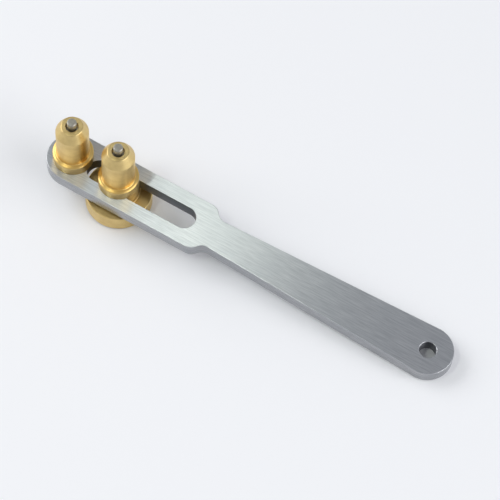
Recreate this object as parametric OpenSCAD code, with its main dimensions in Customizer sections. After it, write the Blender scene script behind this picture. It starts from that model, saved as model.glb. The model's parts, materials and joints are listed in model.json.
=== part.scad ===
// Adjustable face-pin spanner: a flat slotted bar with one fixed and one sliding
// brass post, each carrying a steel pin that drops into a hole of the ring to be turned.
// +X runs from the fixed pin along the bar, +Z along the pins. The origin is on the
// fixed pin's axis, in the plane of the post noses, which lies on the work.

/* [Bar] */
// Thickness of the flat bar
bar_t = 6.3; // [5:0.1:8]
// Width of the slotted head
head_w = 22.2; // [21:0.1:26]
// Distance from the fixed pin to the start of the shoulders
shoulder_x = 60.5; // [60:0.5:70]
// Length of the shoulders between head and handle
shoulder_l = 8.5; // [8:0.5:14]
// Width of the handle where it leaves the shoulders
neck_w = 13.5; // [10:0.1:16]
// Width of the rounded end of the handle
end_w = 21.2; // [18:0.1:24]
// Distance from the fixed pin to the hang hole
hang_x = 167.7; // [140:0.1:220]
// Diameter of the hang hole
hang_d = 7; // [4:0.1:9]

/* [Slot] */
// Width of the slot
slot_w = 10; // [9:0.1:11]
// Distance from the fixed pin to the near end of the slot
slot_from = 7.6; // [7:0.1:8]
// Length of the slot from end to end
slot_l = 50.8; // [48:0.1:51]

/* [Posts] */
// Distance between the two pins as set
span = 22; // [20:0.1:42]
// Height of a post above the bar
post_h = 26; // [24:0.1:32]
// Diameter of a post's flange
flange_d = 17; // [16:0.1:18]
// Height of the flange's straight rim
flange_t = 5; // [3:0.1:7]
// Diameter of a post's body
body_d = 13.7; // [12:0.1:14.5]
// Diameter of the flat nose round the pin
nose_d = 9; // [7:0.1:11]
// Length of the cone between body and nose
cone_l = 4.4; // [2:0.1:6]

/* [Pins] */
// Diameter of a pin's working tip
pin_d = 4; // [3:0.1:4.4]
// Length of tip that stands out of the nose
pin_out = 3.4; // [2:0.1:5]
// Diameter of a pin's threaded shank
shank_d = 5; // [4.6:0.1:5.5]
// Diameter of the counterbore round the pin
ring_d = 5.3; // [5.1:0.1:6.5]

/* [Clamp] */
// Diameter of the clamp stud's thread
stud_d = 8; // [6:0.1:8]
// Diameter of the thumb nut
nut_d = 28; // [22:0.1:34]
// Thickness of the thumb nut
nut_t = 8.2; // [5:0.1:12]
// Diameter of the washer under the bar
washer_d = 18; // [14:0.1:22]
// Thickness of the washer
washer_t = 1; // [0.8:0.1:2]

/* [Hidden] */
$fn = 96;

// Levels of the bar's two faces, below the plane of the noses
bar_top = -post_h;
bar_bottom = bar_top - bar_t;

// Each shoulder is two equal arcs, one bulging and one hollow, that meet halfway
shoulder_h = (head_w - neck_w) / 2;
shoulder_turn = 2 * atan(shoulder_h / shoulder_l);
shoulder_r = shoulder_l / (2 * sin(shoulder_turn));
shoulder_mid = (head_w + neck_w) / 4;
neck_x = shoulder_x + shoulder_l;

// The handle's straight sides run tangent to its rounded end
end_r = end_w / 2;
side_turn = asin(end_r / norm([hang_x - neck_x, neck_w / 2])) - atan2(neck_w / 2, hang_x - neck_x);
side_end = [hang_x - end_r * sin(side_turn), end_r * cos(side_turn)];

// Post profile
flange_r = flange_d / 2;
body_r = body_d / 2;
fillet_r = flange_r - body_r;
fillet_steps = 6;
rim_break = 0.3;

// Pins: a threaded shank, a relieved neck inside the counterbore, and the tip
neck_relief = 0.5;
ring_depth = 2.5;
shank_l = 11.5;
tip_break = 0.4;

// Fixed post's countersunk screw
screw_d = 5;
screw_hole_d = 5.4;
screw_head_d = 9.4;
screw_grip = 8;
socket_af = 3;
socket_depth = 2;

// Sliding post's tongue in the slot, and the clamp below it
slide_gap = 0.05;
tongue_short = 0.4;
stud_grip = 7;
stud_recess = 1;
stud_break = 0.6;
thread_gap = 0.05;
washer_gap = 0.3;
clamp_gap = 0.1;
face_gap = 0.05;
nut_break = 0.6;
washer_top = bar_bottom - clamp_gap;
nut_top = washer_top - washer_t - face_gap;
nut_bottom = nut_top - nut_t;
lap = 0.5;

// Outline of the bar seen from above, before the slot and holes are cut
module bar_outline() {
    circle(d = head_w);
    translate([0, -head_w / 2])
        square([shoulder_x, head_w]);
    for (side = [-1, 1])
        translate([shoulder_x, side * (head_w / 2 - shoulder_r)])
            circle(r = shoulder_r);
    difference() {
        translate([shoulder_x - lap, -shoulder_mid])
            square([shoulder_l + lap, 2 * shoulder_mid]);
        for (side = [-1, 1])
            translate([neck_x, side * (neck_w / 2 + shoulder_r)])
                circle(r = shoulder_r);
    }
    polygon([[neck_x - lap, -neck_w / 2], [neck_x, -neck_w / 2], [side_end.x, -side_end.y],
             side_end, [neck_x, neck_w / 2], [neck_x - lap, neck_w / 2]]);
    translate([hang_x, 0])
        circle(r = end_r);
}

// Round-ended slot
module slot_outline() {
    slot_r = slot_w / 2;
    for (x = [slot_from + slot_r, slot_from + slot_l - slot_r])
        translate([x, 0])
            circle(r = slot_r);
    translate([slot_from + slot_r, -slot_r])
        square([slot_l - slot_w, slot_w]);
}

module bar() {
    color("silver")
        difference() {
            translate([0, 0, bar_bottom])
                linear_extrude(bar_t)
                    difference() {
                        bar_outline();
                        slot_outline();
                        translate([hang_x, 0])
                            circle(d = hang_d);
                    }
            translate([0, 0, bar_bottom - lap])
                cylinder(d = screw_hole_d, h = bar_t + 2 * lap);
            translate([0, 0, bar_bottom])
                screw_head(lap);
        }
}

// Right-angled cone of the countersunk head, running on below z = 0 by the given length
module screw_head(below) {
    wide_r = screw_head_d / 2 + below;
    throat_r = screw_d / 2;
    translate([0, 0, -below])
        cylinder(r1 = wide_r, r2 = throat_r, h = wide_r - throat_r);
}

// Turned post standing on z = 0, bored from its nose for the pin
module post() {
    difference() {
        rotate_extrude()
            polygon(concat(
                [[0, 0], [flange_r - rim_break, 0], [flange_r, rim_break],
                 [flange_r, flange_t - rim_break], [flange_r - rim_break, flange_t]],
                [for (i = [1:fillet_steps])
                    let (a = 90 * i / fillet_steps, r = fillet_r - rim_break)
                        [body_r + r * (1 - sin(a)), flange_t + r * (1 - cos(a))]],
                [[body_r, post_h - cone_l], [nose_d / 2, post_h], [0, post_h]]));
        translate([0, 0, post_h - ring_depth - shank_l])
            cylinder(d = shank_d, h = shank_l + ring_depth);
        translate([0, 0, post_h - ring_depth])
            cylinder(d = ring_d, h = ring_depth + lap);
    }
}

// Pin with the shoulder between neck and tip at z = 0
module pin() {
    tip_r = pin_d / 2;
    color("dimgray")
        rotate_extrude()
            polygon([[0, -ring_depth - shank_l], [shank_d / 2, -ring_depth - shank_l],
                     [shank_d / 2, -ring_depth], [tip_r - neck_relief, -ring_depth],
                     [tip_r - neck_relief, 0], [tip_r, 0], [tip_r, pin_out - tip_break],
                     [tip_r - tip_break, pin_out], [0, pin_out]]);
}

module fixed_post() {
    color("goldenrod")
        translate([0, 0, bar_top])
            difference() {
                post();
                translate([0, 0, -lap])
                    cylinder(d = screw_d, h = screw_grip + lap);
            }
}

module fixed_pin() {
    pin();
}

// Countersunk socket screw from the bar's underside up into the fixed post
module fixed_post_screw() {
    color("gray")
        translate([0, 0, bar_bottom])
            difference() {
                union() {
                    screw_head(0);
                    cylinder(d = screw_d, h = bar_t + screw_grip);
                }
                translate([0, 0, -lap])
                    cylinder(d = socket_af / cos(30), h = socket_depth + lap, $fn = 6);
            }
}

// Post whose flange is flatted below the bar's top face to slide in the slot without turning
module sliding_post() {
    tongue_h = bar_t - tongue_short;
    color("goldenrod")
        translate([span, 0, bar_top])
            difference() {
                union() {
                    post();
                    translate([0, 0, -tongue_h])
                        intersection() {
                            cylinder(r = flange_r, h = tongue_h + lap);
                            translate([-flange_r, slide_gap - slot_w / 2, 0])
                                cube([flange_d, slot_w - 2 * slide_gap, tongue_h + lap]);
                        }
                }
                translate([0, 0, -tongue_h - lap])
                    cylinder(d = stud_d, h = tongue_h + stud_grip + lap);
            }
}

module sliding_pin() {
    translate([span, 0, 0])
        pin();
}

// Threaded stud fixed in the sliding post, ending inside the nut
module clamp_stud() {
    stud_low = nut_bottom + stud_recess;
    color("gray")
        translate([span, 0, stud_low])
            rotate_extrude()
                polygon([[0, 0], [stud_d / 2 - stud_break, 0], [stud_d / 2, stud_break],
                         [stud_d / 2, bar_top + stud_grip - stud_low],
                         [0, bar_top + stud_grip - stud_low]]);
}

// Plain brass washer between the nut and the bar
module clamp_washer() {
    color("goldenrod")
        translate([span, 0, washer_top - washer_t])
            difference() {
                cylinder(d = washer_d, h = washer_t);
                translate([0, 0, -lap])
                    cylinder(d = stud_d + 2 * washer_gap, h = washer_t + 2 * lap);
            }
}

// Plain round nut turned by hand
module thumb_nut() {
    nut_r = nut_d / 2;
    bore_r = stud_d / 2 + thread_gap;
    color("goldenrod")
        translate([span, 0, nut_bottom])
            rotate_extrude()
                polygon([[bore_r, 0], [nut_r - nut_break, 0], [nut_r, nut_break],
                         [nut_r, nut_t - nut_break], [nut_r - nut_break, nut_t],
                         [bore_r, nut_t]]);
}

bar();
fixed_post();
fixed_pin();
fixed_post_screw();
sliding_post();
sliding_pin();
clamp_stud();
clamp_washer();
thumb_nut();
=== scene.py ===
"""Looks of the adjustable face-pin spanner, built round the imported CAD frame."""
import json
import math

import bmesh
import bpy
from mathutils import Matrix, Vector


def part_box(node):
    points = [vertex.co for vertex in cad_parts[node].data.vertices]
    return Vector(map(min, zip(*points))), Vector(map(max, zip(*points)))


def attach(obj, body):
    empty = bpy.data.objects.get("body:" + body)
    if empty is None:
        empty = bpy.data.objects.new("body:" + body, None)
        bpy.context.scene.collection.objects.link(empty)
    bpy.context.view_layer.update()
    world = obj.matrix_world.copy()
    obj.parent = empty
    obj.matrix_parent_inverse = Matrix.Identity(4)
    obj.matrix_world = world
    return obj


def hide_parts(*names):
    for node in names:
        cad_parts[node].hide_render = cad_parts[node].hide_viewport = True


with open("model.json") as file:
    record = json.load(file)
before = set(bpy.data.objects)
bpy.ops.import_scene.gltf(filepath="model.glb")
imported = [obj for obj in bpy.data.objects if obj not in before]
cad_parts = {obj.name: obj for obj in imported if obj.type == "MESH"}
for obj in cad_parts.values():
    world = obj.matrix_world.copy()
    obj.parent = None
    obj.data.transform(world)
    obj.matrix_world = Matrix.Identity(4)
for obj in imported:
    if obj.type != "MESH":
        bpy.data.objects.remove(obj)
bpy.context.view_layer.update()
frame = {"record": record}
MM = 0.001
TINY = 1e-6

# ---------------------------------------------------------------- sizes, in millimetres


def box_mm(node):
    """Lowest and highest corner of a CAD node, in millimetres."""
    low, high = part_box(node)
    return low / MM, high / MM


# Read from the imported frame
MOUNTS = {m["name"]: m for m in frame["record"]["mounts"]}
BAR_LOW, BAR_HIGH = box_mm("bar")
BAR_TOP, BAR_BOTTOM = BAR_HIGH.z, BAR_LOW.z
NUT_LOW, NUT_HIGH = box_mm("thumb_nut")
HEAD_R = BAR_HIGH.y
HANG_X = MOUNTS["hang_hole"]["pos_m"][0] / MM
HANG_R = MOUNTS["hang_hole"]["dims"]["r_mm"]
END_R = BAR_HIGH.x - HANG_X
SPAN = MOUNTS["sliding_pin"]["pos_m"][0] / MM
PIN_R = MOUNTS["fixed_pin"]["dims"]["r_mm"]
STUD_R = box_mm("clamp_stud")[1].x - SPAN
POST_H = -BAR_TOP

# Bar
SHOULDER_X = 60.5
SHOULDER_L = 8.5
NECK_R = 6.75
SLOT_R = 5.0
SLOT_ENDS = (12.6, 53.4)
SCREW_HOLE_R = 2.7
SCREW_HEAD_R = 4.7
EDGE_R = 0.2
SLOT_EDGE_R = 0.15
HANG_EDGE_R = 0.25

# Posts
FLANGE_R = 8.5
FLANGE_T = 5.0
LEDGE_R = 7.75
BODY_R = 6.85
NOSE_R = 4.5
CONE_L = 4.4
RING_R = 2.65
RING_DEPTH = 2.5
SLIDE_GAP = 0.05
TONGUE_BREAK = 0.4

# Pins, screw, stud, nut and washer
PIN_BREAK = 0.45
PIN_NECK_R = PIN_R - 0.5
SHANK_R = 2.5
SHANK_L = 11.5
SCREW_R = 2.5
SCREW_GRIP = 8.0
SCREW_GAP = 0.06
SOCKET_R = 1.5
SOCKET_DEPTH = 2.0
SOCKET_POINT = 0.5
SOCKET_LAND = 0.45
SOCKET_LIP = 0.12
STUD_GRIP = 7.0
STUD_BREAK = 0.3
THREAD_PITCH = 1.25
THREAD_DEPTH = 0.6
NUT_BORE_R = STUD_R + 0.05
NUT_BREAK = 0.5
NUT_BORE_BREAK = 0.6
WASHER_BORE_R = 4.3

# How much painted shade darkens the walls against the bar's faces, from 0 to 1, most in the slot
# and the hang hole
OUTER_PAINTED_SHADE = 0.4
HOLE_PAINTED_SHADE = 1.0
SCREW_PAINTED_SHADE = 0.3


# ---------------------------------------------------------------- mesh helpers


def finish_mesh(name, bm, origin, material, body, slot, *nodes):
    """Turns a bmesh built in millimetres round its own origin into a piece on a body."""
    bmesh.ops.recalc_face_normals(bm, faces=bm.faces)
    bmesh.ops.scale(bm, vec=(MM, MM, MM), verts=bm.verts)
    sharp = math.radians(35)
    for edge in bm.edges:
        if len(edge.link_faces) == 2 and edge.calc_face_angle(0) > sharp:
            edge.smooth = False
    mesh = bpy.data.meshes.new(name)
    bm.to_mesh(mesh)
    bm.free()
    piece = bpy.data.objects.new(name, mesh)
    bpy.context.scene.collection.objects.link(piece)
    piece.location = Vector(origin) * MM
    mesh.materials.append(material)
    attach(piece, body)
    if nodes:
        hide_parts(*nodes)


def join_rings(bm, a, b):
    """Smooth faces between two closed rings with the same number of points."""
    count = len(a)
    for k in range(count):
        n = (k + 1) % count
        bm.faces.new((a[k], b[k], b[n], a[n])).smooth = True


def rounded(profile, support=0.12, steps=4):
    """Rounds a profile of (r, z, radius) corners and adds a point near each end of a long side."""
    points = []
    last = len(profile) - 1
    for i, (r, z, radius) in enumerate(profile):
        here = Vector((r, z))
        if radius <= 0 or i in (0, last):
            points.append(here)
            continue
        before = Vector(profile[i - 1][:2]) - here
        after = Vector(profile[i + 1][:2]) - here
        half = before.angle(after) / 2
        # Two neighbouring corners never use more than a side's length
        cut = min(radius / math.tan(half), before.length * 0.49, after.length * 0.49)
        radius = cut * math.tan(half)
        before.normalize()
        after.normalize()
        start, end = here + before * cut, here + after * cut
        centre = here + (before + after).normalized() * (radius / math.sin(half))
        for k in range(steps + 1):
            way = start.lerp(end, k / steps) - centre
            points.append(centre + way.normalized() * radius)
    supported = [points[0]]
    for a, b in zip(points, points[1:]):
        length = (b - a).length
        if length > 4 * support:
            supported.append(a.lerp(b, support / length))
            supported.append(a.lerp(b, 1 - support / length))
        if length > TINY:
            supported.append(b)
    return supported


def lathe(bm, profile, segments=128, closed=False):
    """Turns a list of (r, z) points about Z. Points on the axis become one vertex."""
    turns = [2 * math.pi * k / segments for k in range(segments)]
    rings = []
    for r, z in profile:
        if r < TINY:
            rings.append([bm.verts.new((0, 0, z))])
        else:
            rings.append([bm.verts.new((r * math.cos(t), r * math.sin(t), z)) for t in turns])
    pairs = list(zip(rings, rings[1:]))
    if closed:
        pairs.append((rings[-1], rings[0]))
    for a, b in pairs:
        for k in range(segments):
            n = (k + 1) % segments
            corners = [a[k % len(a)], a[n % len(a)], b[n % len(b)], b[k % len(b)]]
            corners = list(dict.fromkeys(corners))
            if len(corners) > 2:
                bm.faces.new(corners).smooth = True


# ---------------------------------------------------------------- bar


def arc(x, y, r, start, end, sign=1, steps=24):
    """Points (x, y, nx, ny) on an arc in degrees, with the metal's outward normal."""
    made = []
    for k in range(steps + 1):
        t = math.radians(start + (end - start) * k / steps)
        c, s = math.cos(t), math.sin(t)
        made.append((x + r * c, y + r * s, sign * c, sign * s))
    return made


def line(x0, y0, x1, y1, steps):
    """Inner points of a straight side, with the normal on its right."""
    length = math.hypot(x1 - x0, y1 - y0)
    n = ((y1 - y0) / length, -(x1 - x0) / length)
    return [(x0 + (x1 - x0) * k / steps, y0 + (y1 - y0) * k / steps, *n) for k in range(1, steps)]


def bar_loop():
    """The bar's outline, counter-clockwise from the top of the head's round end."""
    rise = HEAD_R - NECK_R
    turn = 2 * math.atan(rise / SHOULDER_L)
    r = SHOULDER_L / (2 * math.sin(turn))
    turn = math.degrees(turn)
    neck_x = SHOULDER_X + SHOULDER_L
    run = HANG_X - neck_x
    lean = math.asin(END_R / math.hypot(run, NECK_R)) - math.atan2(NECK_R, run)
    end_x = HANG_X - END_R * math.sin(lean)
    end_y = END_R * math.cos(lean)
    lean = math.degrees(lean)
    lower = line(0, -HEAD_R, SHOULDER_X, -HEAD_R, 40)
    lower += arc(SHOULDER_X, r - HEAD_R, r, -90, turn - 90, 1, 12)
    lower += arc(neck_x, -NECK_R - r, r, 90 + turn, 90, -1, 12)[1:]
    lower += line(neck_x, -NECK_R, end_x, -end_y, 60)
    upper = [(x, -y, nx, -ny) for x, y, nx, ny in reversed(lower)]
    tip = arc(0, 0, HEAD_R, 90, 270, 1, 64)
    end = arc(HANG_X, 0, END_R, -90 - lean, 90 + lean, 1, 64)
    return tip + lower + end + upper


def slot_loop():
    """The slot's outline, clockwise, so that its normals point into the slot."""
    low, high = SLOT_ENDS
    loop = arc(low, 0, SLOT_R, 270, 90, -1, 32)
    loop += line(low, SLOT_R, high, SLOT_R, 30)
    loop += arc(high, 0, SLOT_R, 90, -90, -1, 32)
    return loop + line(high, -SLOT_R, low, -SLOT_R, 30)


def hole_loop(x, r):
    """A round hole's outline, clockwise."""
    return arc(x, 0, r, 360, 0, -1, 64)[:-1]


def edge_levels(radius, steps=4):
    """(inset, z) of the rings down a wall of the bar whose two edges are rounded."""
    turns = [math.pi / 2 * k / steps for k in range(steps + 1)]
    curve = [(radius * (1 - math.sin(t)), radius * (1 - math.cos(t))) for t in turns]
    upper = [(inset, BAR_TOP - drop) for inset, drop in curve]
    lower = [(inset, BAR_BOTTOM + drop) for inset, drop in reversed(curve)]
    return upper + [(0, (BAR_TOP + BAR_BOTTOM) / 2)] + lower


def add_wall(bm, loop, levels, painted_shade):
    """One wall of the bar: its rings of points with their painted shade, and faces with the
    brushing's UV along the wall.
    """
    uv = bm.loops.layers.uv["brush"]
    edge_layer = bm.verts.layers.float["edge"]
    painted_shade_layer = bm.verts.layers.float["wall"]
    rings = []
    for inset, z in levels:
        ring = [bm.verts.new((x - nx * inset, y - ny * inset, z)) for x, y, nx, ny in loop]
        on_edge = inset > 0.01
        for v in ring:
            v[edge_layer] = 1.0 if on_edge else 0.0
            # The straight part of the wall carries painted shade, the rounded edges none
            v[painted_shade_layer] = 0.0 if on_edge else painted_shade
        rings.append(ring)
    count = len(loop)
    along = [0.0]
    for k in range(count):
        a, b = loop[k], loop[(k + 1) % count]
        along.append(along[-1] + math.hypot(b[0] - a[0], b[1] - a[1]))
    for i, (a, b) in enumerate(zip(rings, rings[1:])):
        for k in range(count):
            n = (k + 1) % count
            face = bm.faces.new((a[k], b[k], b[n], a[n]))
            face.smooth = True
            spots = [(i, k), (i + 1, k), (i + 1, k + 1), (i, k + 1)]
            for corner, (level, step) in zip(face.loops, spots):
                inset, z = levels[level]
                corner[uv].uv = ((z - inset) * MM, along[step] * MM)
    return rings[0], rings[-1]


def add_face(bm, rings):
    """A flat face of the bar between its outline and its holes, brushed along X."""
    uv = bm.loops.layers.uv["brush"]
    edges = []
    for ring in rings:
        for a, b in zip(ring, ring[1:] + ring[:1]):
            edge = bm.edges.get((a, b))
            edge.smooth = False
            edges.append(edge)
    made = bmesh.ops.triangle_fill(bm, use_beauty=True, use_dissolve=False, edges=edges)
    for face in made["geom"]:
        if isinstance(face, bmesh.types.BMFace):
            face.smooth = False
            for corner in face.loops:
                corner[uv].uv = (corner.vert.co.y * MM, corner.vert.co.x * MM)


def make_bar(material):
    bm = bmesh.new()
    bm.loops.layers.uv.new("brush")
    bm.verts.layers.float.new("edge")
    bm.verts.layers.float.new("wall")
    sink = SCREW_HEAD_R - SCREW_HOLE_R
    countersink = [(0, BAR_TOP), (0, BAR_BOTTOM + sink), (sink, BAR_BOTTOM)]
    walls = [(bar_loop(), edge_levels(EDGE_R), OUTER_PAINTED_SHADE),
             (slot_loop(), edge_levels(SLOT_EDGE_R), HOLE_PAINTED_SHADE),
             (hole_loop(HANG_X, HANG_R), edge_levels(HANG_EDGE_R), HOLE_PAINTED_SHADE),
             (hole_loop(0, SCREW_HOLE_R), countersink, SCREW_PAINTED_SHADE)]
    ends = [add_wall(bm, *wall) for wall in walls]
    for rings in zip(*ends):
        add_face(bm, rings)
    finish_mesh("bar_detail", bm, (0, 0, 0), material, "frame", "bar_steel", "bar")


# ---------------------------------------------------------------- turned pieces


def post_profile(bore, grip):
    """Half section of a post on z = 0: its lower bore, its outside, then down the pin's bore."""
    ring_z = POST_H - RING_DEPTH
    return rounded([
        (0, grip, 0), (bore, grip, 0), (bore, 0, 0),
        (FLANGE_R, 0, 0.25), (FLANGE_R, FLANGE_T, 0.5),
        (LEDGE_R, FLANGE_T + 0.35, 0.25), (BODY_R, FLANGE_T + 0.5, 0.8),
        (BODY_R, POST_H - CONE_L, 0.6), (NOSE_R, POST_H, 0.5), (RING_R, POST_H, 0.12),
        (RING_R, ring_z, 0), (SHANK_R, ring_z, 0),
        (SHANK_R, ring_z - SHANK_L, 0), (0, ring_z - SHANK_L, 0)])


def make_post(name, x, body, node, material, bore, grip):
    bm = bmesh.new()
    lathe(bm, post_profile(bore, grip))
    # The fillets between flange and body get a painted orange highlight, standing in for brass
    # reflected in brass
    fillet_painted_highlight = bm.verts.layers.float.new("fillet_painted_highlight")
    for v in bm.verts:
        outside = math.hypot(v.co.x, v.co.y) > BODY_R - 0.05
        if outside and FLANGE_T - 0.1 < v.co.z < FLANGE_T + 1.1:
            v[fillet_painted_highlight] = 1.0
    finish_mesh(name, bm, (x, 0, BAR_TOP), material, body, "brass", node)


def make_tongue(material):
    """The flatted block under the sliding post that runs in the slot, bored for the stud."""
    low = box_mm("sliding_post")[0].z
    half = SLOT_R - SLIDE_GAP
    corner = math.degrees(math.acos(half / FLANGE_R))
    reach = math.sqrt(FLANGE_R ** 2 - half ** 2)
    loop = arc(0, 0, FLANGE_R, corner - 90, 90 - corner, 1, 24)
    loop += line(reach, half, -reach, half, 32)
    loop += arc(0, 0, FLANGE_R, 90 + corner, 270 - corner, 1, 24)
    loop += line(-reach, -half, reach, -half, 32)
    bm = bmesh.new()
    rings = []
    levels = [(0, BAR_TOP), (0, low + TONGUE_BREAK), (0.12, low + 0.12), (TONGUE_BREAK, low)]
    for inset, z in levels:
        scale = 1 - inset / FLANGE_R
        rings.append([bm.verts.new((x * scale, y * scale, z)) for x, y, _, _ in loop])
    turns = [math.atan2(y, x) for x, y, _, _ in loop]
    for z in (low, BAR_TOP):
        rings.append([bm.verts.new((STUD_R * math.cos(t), STUD_R * math.sin(t), z)) for t in turns])
    for a, b in zip(rings, rings[1:] + rings[:1]):
        join_rings(bm, a, b)
    finish_mesh("sliding_post_tongue", bm, (SPAN, 0, 0), material, "carriage", "brass")


def make_pin(name, x, body, node, material):
    """A pin: the blunt tip, a short neck inside the nose, and the shank in the post."""
    high = box_mm(node)[1].z
    bm = bmesh.new()
    lathe(bm, rounded([
        (0, high, 0), (PIN_R - PIN_BREAK, high, 0.15), (PIN_R, high - PIN_BREAK, 0.2),
        (PIN_R, 0.1, 0), (PIN_NECK_R, -0.2, 0), (PIN_NECK_R, -RING_DEPTH, 0),
        (SHANK_R, -RING_DEPTH, 0), (SHANK_R, -RING_DEPTH - SHANK_L, 0),
        (0, -RING_DEPTH - SHANK_L, 0)]), 96)
    finish_mesh(name, bm, (x, 0, 0), material, body, "pin_steel", node)


def make_nut(material):
    r = (NUT_HIGH.x - NUT_LOW.x) / 2
    t = NUT_HIGH.z - NUT_LOW.z
    mouth = NUT_BORE_R + NUT_BORE_BREAK
    bm = bmesh.new()
    profile = rounded([
        (NUT_BORE_R, NUT_BORE_BREAK, 0), (mouth, 0, 0.1), (r, 0, NUT_BREAK), (r, t, NUT_BREAK),
        (mouth, t, 0.1), (NUT_BORE_R, t - NUT_BORE_BREAK, 0), (NUT_BORE_R, NUT_BORE_BREAK, 0)])
    lathe(bm, profile[:-1], 160, closed=True)
    # Painted shade: the face layer darkens the nut's flat faces and bore, standing in for the bar's
    # shadow and dark reflection
    face = bm.verts.layers.float.new("face")
    for v in bm.verts:
        v[face] = 1.0 if math.hypot(v.co.x, v.co.y) < r - 0.2 else 0.0
    finish_mesh("thumb_nut_detail", bm, (SPAN, 0, NUT_LOW.z), material, "nut", "brass", "thumb_nut")


def make_washer(material):
    low, high = box_mm("clamp_washer")
    r = (high.x - low.x) / 2
    t = high.z - low.z
    bm = bmesh.new()
    profile = rounded([(WASHER_BORE_R, 0, 0.1), (r, 0, 0.25), (r, t, 0.25), (WASHER_BORE_R, t, 0.1),
                       (WASHER_BORE_R, 0, 0)], 0.1)
    lathe(bm, profile[:-1], closed=True)
    finish_mesh("clamp_washer_detail", bm, (SPAN, 0, low.z), material, "washer", "brass",
                "clamp_washer")


def make_stud(material):
    """Clamp stud with a rounded thread that runs out at both ends, its lower end chamfered."""
    low, high = box_mm("clamp_stud")
    length = high.z - low.z
    segments, rows_per_turn = 40, 8
    rows = round(length / THREAD_PITCH * rows_per_turn)
    bm = bmesh.new()
    rings = []
    for j in range(rows + 1):
        z = length * j / rows
        fade = min(1.0, z / THREAD_PITCH, (length - z) / THREAD_PITCH)
        ring = []
        for k in range(segments):
            turn = 2 * math.pi * k / segments
            wave = 0.5 + 0.5 * math.cos(2 * math.pi * z / THREAD_PITCH - turn)
            r = STUD_R - THREAD_DEPTH * (1 - wave * fade) - STUD_BREAK * (j == 0)
            ring.append(bm.verts.new((r * math.cos(turn), r * math.sin(turn), z)))
        rings.append(ring)
    for a, b in zip(rings, rings[1:]):
        join_rings(bm, a, b)
    bm.faces.new(rings[0])
    bm.faces.new(rings[-1])
    finish_mesh("clamp_stud_detail", bm, (SPAN, 0, low.z), material, "carriage", "plated_steel",
                "clamp_stud")


def make_screw(material):
    """Countersunk socket screw seen flush in the bar's underside."""
    low, high = box_mm("fixed_post_screw")
    length = high.z - low.z
    r = SCREW_HEAD_R - SCREW_GAP
    socket_corner = SOCKET_R / math.cos(math.radians(30))
    bm = bmesh.new()
    segments = 96
    lathe(bm, rounded([(socket_corner + SOCKET_LAND, 0, 0), (r, 0, 0.12), (SCREW_R, r - SCREW_R, 0),
                       (SCREW_R, length, 0), (0, length, 0)]), segments)
    bm.verts.ensure_lookup_table()
    first = list(bm.verts[:segments])
    mouth, floor, wall = [], [], []
    for k in range(segments):
        t = 2 * math.pi * k / segments
        flat = (t % (math.pi / 3)) - math.pi / 6
        reach = SOCKET_R / math.cos(flat)
        c, s = math.cos(t), math.sin(t)
        mouth.append(bm.verts.new((c * (reach + SOCKET_LIP), s * (reach + SOCKET_LIP), 0)))
        wall.append(bm.verts.new((c * reach, s * reach, SOCKET_LIP)))
        floor.append(bm.verts.new((c * reach, s * reach, SOCKET_DEPTH)))
    bottom = bm.verts.new((0, 0, SOCKET_DEPTH + SOCKET_POINT))
    for a, b in ((first, mouth), (mouth, wall), (wall, floor)):
        for k in range(segments):
            n = (k + 1) % segments
            bm.faces.new((a[k], a[n], b[n], b[k])).smooth = a is not first
    for k in range(segments):
        bm.faces.new((floor[k], floor[(k + 1) % segments], bottom))
    finish_mesh("fixed_post_screw_detail", bm, (0, 0, low.z), material, "frame", "plated_steel",
                "fixed_post_screw")


# ---------------------------------------------------------------- materials


class Nodes:
    """Small helper to build a node tree line by line."""

    def __init__(self, name):
        self.material = bpy.data.materials.new(name)
        self.material.use_nodes = True
        self.tree = self.material.node_tree
        self.shader = self.tree.nodes["Principled BSDF"]

    def add(self, kind, **settings):
        node = self.tree.nodes.new(kind)
        for key, value in settings.items():
            setattr(node, key, value)
        return node

    def feed(self, socket, value):
        if isinstance(value, bpy.types.NodeSocket):
            self.tree.links.new(value, socket)
        else:
            socket.default_value = value

    def math(self, operation, *values):
        node = self.add("ShaderNodeMath", operation=operation)
        for socket, value in zip(node.inputs, values):
            self.feed(socket, value)
        return node.outputs[0]

    def sum(self, *values):
        total = values[0]
        for value in values[1:]:
            total = self.math("ADD", total, value)
        return total

    def scaled(self, value, factor):
        return self.math("MULTIPLY", value, factor)

    def attribute(self, name):
        """A vertex layer of the mesh, 0 on a piece that has none."""
        return self.add("ShaderNodeAttribute", attribute_name=name).outputs["Fac"]

    def noise(self, vector, scale, detail, roughness):
        node = self.add("ShaderNodeTexNoise")
        self.feed(node.inputs["Vector"], vector)
        node.inputs["Scale"].default_value = scale
        node.inputs["Detail"].default_value = detail
        node.inputs["Roughness"].default_value = roughness
        return node.outputs["Fac"]

    def stretch(self, vector, scale):
        node = self.add("ShaderNodeMapping")
        self.feed(node.inputs["Vector"], vector)
        node.inputs["Scale"].default_value = scale
        return node.outputs["Vector"]

    def remap(self, value, low, high, to_low, to_high):
        node = self.add("ShaderNodeMapRange")
        self.feed(node.inputs["Value"], value)
        ends = {"From Min": low, "From Max": high, "To Min": to_low, "To Max": to_high}
        for key, number in ends.items():
            node.inputs[key].default_value = number
        return node.outputs["Result"]

    def mix(self, factor, a, b):
        node = self.add("ShaderNodeMix", data_type="RGBA")
        self.feed(node.inputs["Factor"], factor)
        for socket, value in ((node.inputs[6], a), (node.inputs[7], b)):
            if isinstance(value, tuple):
                value = (*value, 1.0)
            self.feed(socket, value)
        return node.outputs[2]

    def bump(self, height, distance, strength):
        node = self.add("ShaderNodeBump")
        self.feed(node.inputs["Height"], height)
        node.inputs["Distance"].default_value = distance
        node.inputs["Strength"].default_value = strength
        return node.outputs["Normal"]

    def finish(self, **inputs):
        for key, value in inputs.items():
            self.feed(self.shader.inputs[key.replace("_", " ")], value)
        return self.material


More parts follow.
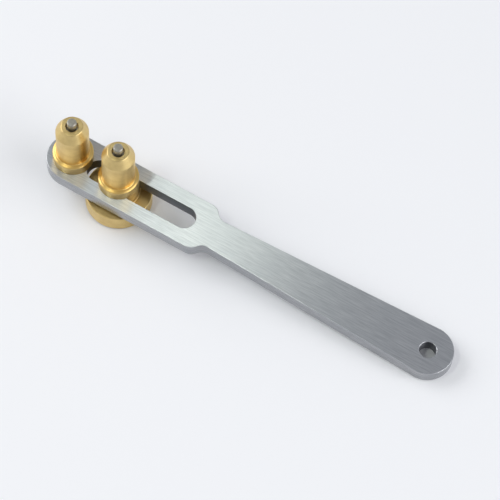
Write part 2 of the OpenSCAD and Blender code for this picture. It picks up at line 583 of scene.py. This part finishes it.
def bar_steel():
    """Steel brushed along the bar: UV across the brushing is U and along it is V, in metres."""
    n = Nodes("bar_steel")
    uv = n.add("ShaderNodeUVMap", uv_map="brush").outputs["UV"]
    place = n.add("ShaderNodeTexCoord").outputs["Object"]
    fine = n.noise(n.stretch(uv, (9000, 20, 1)), 1.0, 1.0, 0.5)
    coarse = n.noise(n.stretch(uv, (1900, 110, 1)), 1.0, 3.0, 0.6)
    cloud = n.noise(place, 45.0, 3.0, 0.5)
    lines = n.sum(n.scaled(fine, 0.3), n.scaled(coarse, 0.7))
    edge = n.attribute("edge")
    wall = n.attribute("wall")
    tone = n.mix(n.remap(lines, 0.38, 0.62, 0.0, 1.0), (0.43, 0.44, 0.46), (0.715, 0.72, 0.735))
    tone = n.mix(n.remap(cloud, 0.35, 0.7, 0.0, 0.35), tone, (0.47, 0.50, 0.53))
    # Painted shade: the walls darker than the bar's faces
    tone = n.mix(n.scaled(wall, 0.9), tone, (0.15, 0.155, 0.17))
    tone = n.mix(n.scaled(edge, 0.35), tone, (0.80, 0.83, 0.83))
    rough = n.sum(n.remap(lines, 0.3, 0.7, 0.165, 0.18), n.scaled(n.sum(edge, wall), 0.2))
    tangent = n.add("ShaderNodeTangent", direction_type="UV_MAP", uv_map="brush")
    return n.finish(Base_Color=tone, Metallic=1.0, Roughness=rough, Anisotropic=1.0,
                    Tangent=tangent.outputs["Tangent"], Normal=n.bump(fine, 0.000002, 1.0))


def turned_place(n):
    """The place on a turned piece, and (radius, height, 0), in which a noise becomes rings."""
    place = n.add("ShaderNodeTexCoord").outputs["Object"]
    split = n.add("ShaderNodeSeparateXYZ")
    n.feed(split.inputs[0], place)
    x, y, z = split.outputs
    join = n.add("ShaderNodeCombineXYZ")
    n.feed(join.inputs[0], n.math("SQRT", n.sum(n.scaled(x, x), n.scaled(y, y))))
    n.feed(join.inputs[1], z)
    return place, join.outputs[0]


def turned_metal(name, light, dark, stain_and_painted_shade, rough, anisotropic, ring_depth, stain_share):
    """Metal turned on a lathe: fine rings round Z, clouds and spots of staining, painted shade on
    faces in the face layer and a painted orange highlight on fillets.
    """
    n = Nodes(name)
    place, rings = turned_place(n)
    fine = n.noise(rings, 5200.0, 2.0, 0.6)
    coarse = n.noise(rings, 900.0, 2.0, 0.5)
    cloud = n.noise(place, 170.0, 4.0, 0.6)
    spots = n.noise(place, 900.0, 3.0, 0.6)
    lines = n.sum(n.scaled(fine, 0.6), n.scaled(coarse, 0.4))
    face = n.attribute("face")
    fillet_painted_highlight = n.attribute("fillet_painted_highlight")
    tone = n.mix(n.remap(lines, 0.3, 0.7, 0.0, 1.0), dark, light)
    tone = n.mix(n.remap(cloud, 0.4, 0.75, 0.0, stain_share), tone, stain_and_painted_shade)
    tone = n.mix(n.remap(spots, 0.62, 0.72, 0.0, stain_share * 0.6), tone, stain_and_painted_shade)
    # Painted shade on the faces in the face layer
    tone = n.mix(n.scaled(face, 0.7), tone, stain_and_painted_shade)
    # Painted orange highlight on the fillets
    tone = n.mix(n.scaled(fillet_painted_highlight, 0.5), tone, (0.93, 0.58, 0.13))
    roughness = n.sum(n.remap(lines, 0.3, 0.7, rough - 0.04, rough + 0.04),
                      n.remap(cloud, 0.3, 0.7, -0.04, 0.05), n.scaled(fillet_painted_highlight, -0.05))
    tangent = n.add("ShaderNodeTangent", direction_type="RADIAL", axis="Z")
    return n.finish(Base_Color=tone, Metallic=1.0, Roughness=roughness, Anisotropic=anisotropic,
                    Anisotropic_Rotation=0.25, Tangent=tangent.outputs["Tangent"],
                    Normal=n.bump(lines, ring_depth, 0.5))


def floor_material():
    n = Nodes("studio_floor")
    place = n.add("ShaderNodeTexCoord").outputs["Object"]
    cloud = n.noise(place, 3.0, 3.0, 0.5)
    tone = n.mix(cloud, (0.93, 0.935, 0.94), (0.95, 0.95, 0.955))
    return n.finish(Base_Color=tone, Roughness=0.75)


# ---------------------------------------------------------------- object


def make_object():
    steel = bar_steel()
    brass = turned_metal("turned_brass", (0.82, 0.635, 0.285), (0.74, 0.555, 0.235),
                         stain_and_painted_shade=(0.50, 0.34, 0.13), rough=0.39, anisotropic=0.55,
                         ring_depth=0.000012, stain_share=0.45)
    pin_steel = turned_metal("pin_steel", (0.58, 0.56, 0.48), (0.42, 0.40, 0.34),
                             stain_and_painted_shade=(0.17, 0.14, 0.10), rough=0.42, anisotropic=0.3,
                             ring_depth=0.00002, stain_share=0.8)
    plated = turned_metal("plated_steel", (0.66, 0.67, 0.66), (0.56, 0.57, 0.57),
                          stain_and_painted_shade=(0.42, 0.41, 0.38), rough=0.33, anisotropic=0.3,
                          ring_depth=0.000012, stain_share=0.4)
    make_bar(steel)
    make_post("fixed_post_detail", 0, "frame", "fixed_post", brass, SCREW_R, SCREW_GRIP)
    make_post("sliding_post_detail", SPAN, "carriage", "sliding_post", brass, STUD_R, STUD_GRIP)
    make_tongue(brass)
    make_pin("fixed_pin_detail", 0, "frame", "fixed_pin", pin_steel)
    make_pin("sliding_pin_detail", SPAN, "carriage", "sliding_pin", pin_steel)
    make_nut(brass)
    make_washer(brass)
    make_stud(plated)
    make_screw(plated)


# ---------------------------------------------------------------- floor, light and camera


def make_floor():
    """The floor, tilted so that the nut's rim and the handle's end both stand on it."""
    nut_foot = Vector((NUT_HIGH.x - NUT_BREAK, 0, NUT_LOW.z))
    end_foot = Vector((BAR_HIGH.x - EDGE_R, 0, BAR_BOTTOM))
    tilt = math.atan2(end_foot.z - nut_foot.z, end_foot.x - nut_foot.x)
    half = 6.0
    corners = [(-half, -half, 0), (half, -half, 0), (half, half, 0), (-half, half, 0)]
    mesh = bpy.data.meshes.new("floor")
    mesh.from_pydata(corners, [], [(0, 1, 2, 3)])
    mesh.materials.append(floor_material())
    floor = bpy.data.objects.new("floor", mesh)
    bpy.context.scene.collection.objects.link(floor)
    floor.matrix_world = Matrix.Translation(nut_foot * MM) @ Matrix.Rotation(-tilt, 4, "Y")


def softbox(name, place, width, height, power, colour):
    """A rectangular area light that faces the head, its width kept along X, in metres and watts."""
    target = Vector((0.05, 0, BAR_TOP * MM))
    data = bpy.data.lights.new(name, "AREA")
    data.shape = "RECTANGLE"
    data.size = width
    data.size_y = height
    data.energy = power
    data.color = colour
    light = bpy.data.objects.new(name, data)
    bpy.context.scene.collection.objects.link(light)
    light.location = place
    back = (Vector(place) - target).normalized()
    side = (Vector((1, 0, 0)) - back * back.x).normalized()
    turn = Matrix((side, back.cross(side), back)).transposed()
    light.rotation_mode = "QUATERNION"
    light.rotation_quaternion = turn.to_quaternion()


def make_lights():
    """A narrow key and a weaker twin for the bar's highlight, two wide fills, and the sky."""
    for name, y, power in (("key", -0.36, 1.3), ("far", 0.36, 0.17)):
        softbox(name, (-0.187, y, 0.98), 0.05, 0.32, power, (0.93, 1.0, 0.90))
    for name, x, y in (("left", -1.25, -0.1), ("right", 1.35, 0.1)):
        softbox(name, (x, y, 0.8), 1.0, 1.4, 12.0, (0.98, 0.98, 1.0))
    world = bpy.data.worlds.new("studio")
    bpy.context.scene.world = world
    world.use_nodes = True
    back = world.node_tree.nodes["Background"]
    back.inputs["Color"].default_value = (0.90, 0.92, 1.0, 1.0)
    back.inputs["Strength"].default_value = 0.43


def make_camera():
    """Camera at the photograph's viewing angle: azimuth, elevation and roll in degrees."""
    azimuth, elevation, roll = (math.radians(v) for v in (26.1, 63.58, 4.85))
    distance = 1.0547
    aim = Vector((0.08415, 0.00115, BAR_TOP * MM))
    back = Vector((math.sin(azimuth) * math.cos(elevation),
                   -math.cos(azimuth) * math.cos(elevation), math.sin(elevation)))
    level = Vector((math.cos(azimuth), math.sin(azimuth), 0))
    right = level * math.cos(roll) + back.cross(level) * math.sin(roll)
    data = bpy.data.cameras.new("camera")
    data.sensor_width = 36
    data.lens = 186.3
    data.clip_start = 0.01
    data.clip_end = 50
    camera = bpy.data.objects.new("camera", data)
    bpy.context.scene.collection.objects.link(camera)
    turn = Matrix((right, back.cross(right), back)).transposed().to_4x4()
    camera.matrix_world = Matrix.Translation(aim + back * distance) @ turn
    bpy.context.scene.camera = camera


make_object()
make_floor()
make_lights()
make_camera()
bpy.context.scene.view_settings.view_transform = "Standard"
